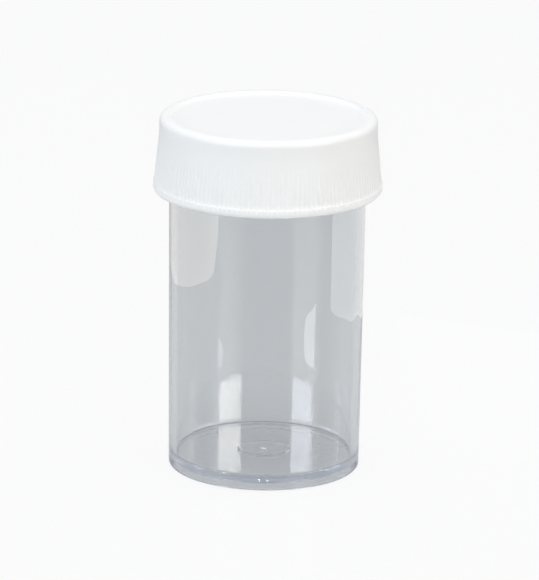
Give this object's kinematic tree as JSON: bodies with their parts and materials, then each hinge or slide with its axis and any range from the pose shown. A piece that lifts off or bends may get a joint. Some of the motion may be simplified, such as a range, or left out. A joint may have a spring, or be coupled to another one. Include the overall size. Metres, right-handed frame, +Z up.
{
  "type": "slide staining jar",
  "caption": "Clear straight-sided plastic jar for staining microscope slides, closed by a white ribbed screw cap with a recessed top panel.",
  "frame": {"origin": "centre of the foot ring, in the plane that the jar stands on", "axes": "+Z up along the jar's axis, from the foot to the cap"},
  "size_m": [0.0628, 0.0628, 0.0994],
  "materials": {
    "clear_polystyrene": "gloss",
    "white_foam": "matte",
    "white_polypropylene": "satin"
  },
  "bodies": {
    "jar": {"jar": "clear_polystyrene"},
    "liner": {"cap_liner": "white_foam"},
    "cap": {"screw_cap": "white_polypropylene"}
  },
  "joints": [
    {"name": "cap_lift", "type": "slide", "parent": "jar", "child": "liner", "axis": [0, 0, 1], "range_m": [0, 0.00762]},
    {"name": "cap_turn", "type": "hinge", "parent": "liner", "child": "cap", "pos_m": [0, 0, 0.097], "axis": [0, 0, 1], "range_deg": [0, 540]}
  ],
  "couplings": [
    {"joint": "cap_lift", "follows": "cap_turn", "m_per_rad": 0.00080851}
  ]
}
